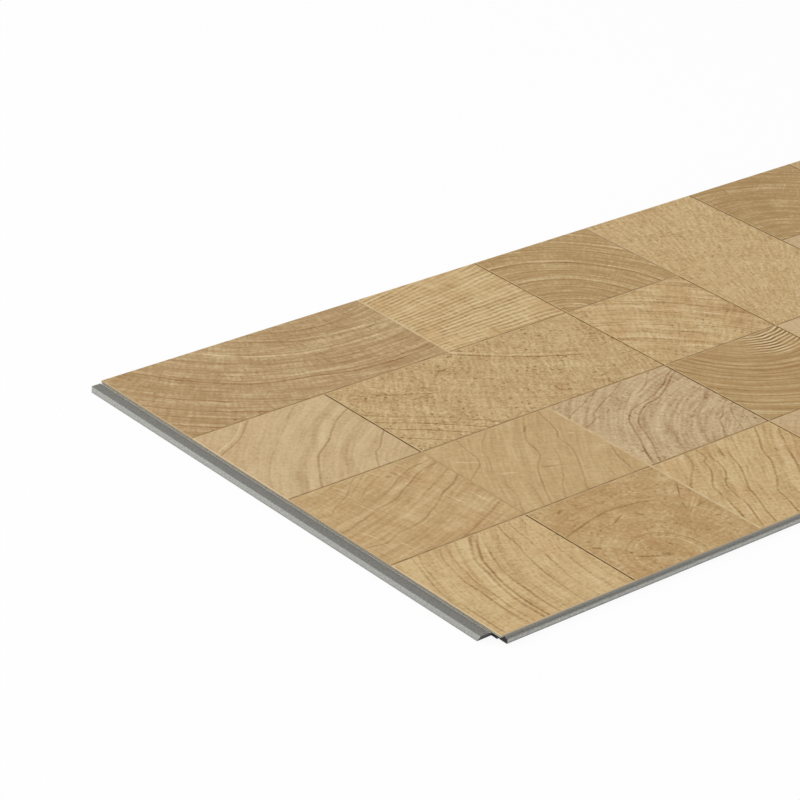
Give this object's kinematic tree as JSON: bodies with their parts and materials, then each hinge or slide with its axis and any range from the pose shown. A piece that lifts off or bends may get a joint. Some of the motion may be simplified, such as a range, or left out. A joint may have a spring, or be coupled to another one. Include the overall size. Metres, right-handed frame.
{
  "type": "pvc cladding panel",
  "caption": "Flat rigid PVC wall panel with a printed end-grain wood-block face and milled click edges: a lower lip and a tongue on neighbouring edges, with their mates opposite.",
  "frame": {"origin": "on the back, under the middle of the decor face", "axes": "+X along the length towards the hooked short edge, +Y across the width towards the grooved long edge, +Z out of the decor face"},
  "size_m": [0.6088, 0.3065, 0.0055],
  "materials": {
    "printed_pvc": "matt wood-block print over a grey rigid PVC core"
  },
  "bodies": {
    "root": {"cladding_panel": "printed_pvc"}
  },
  "joints": []
}
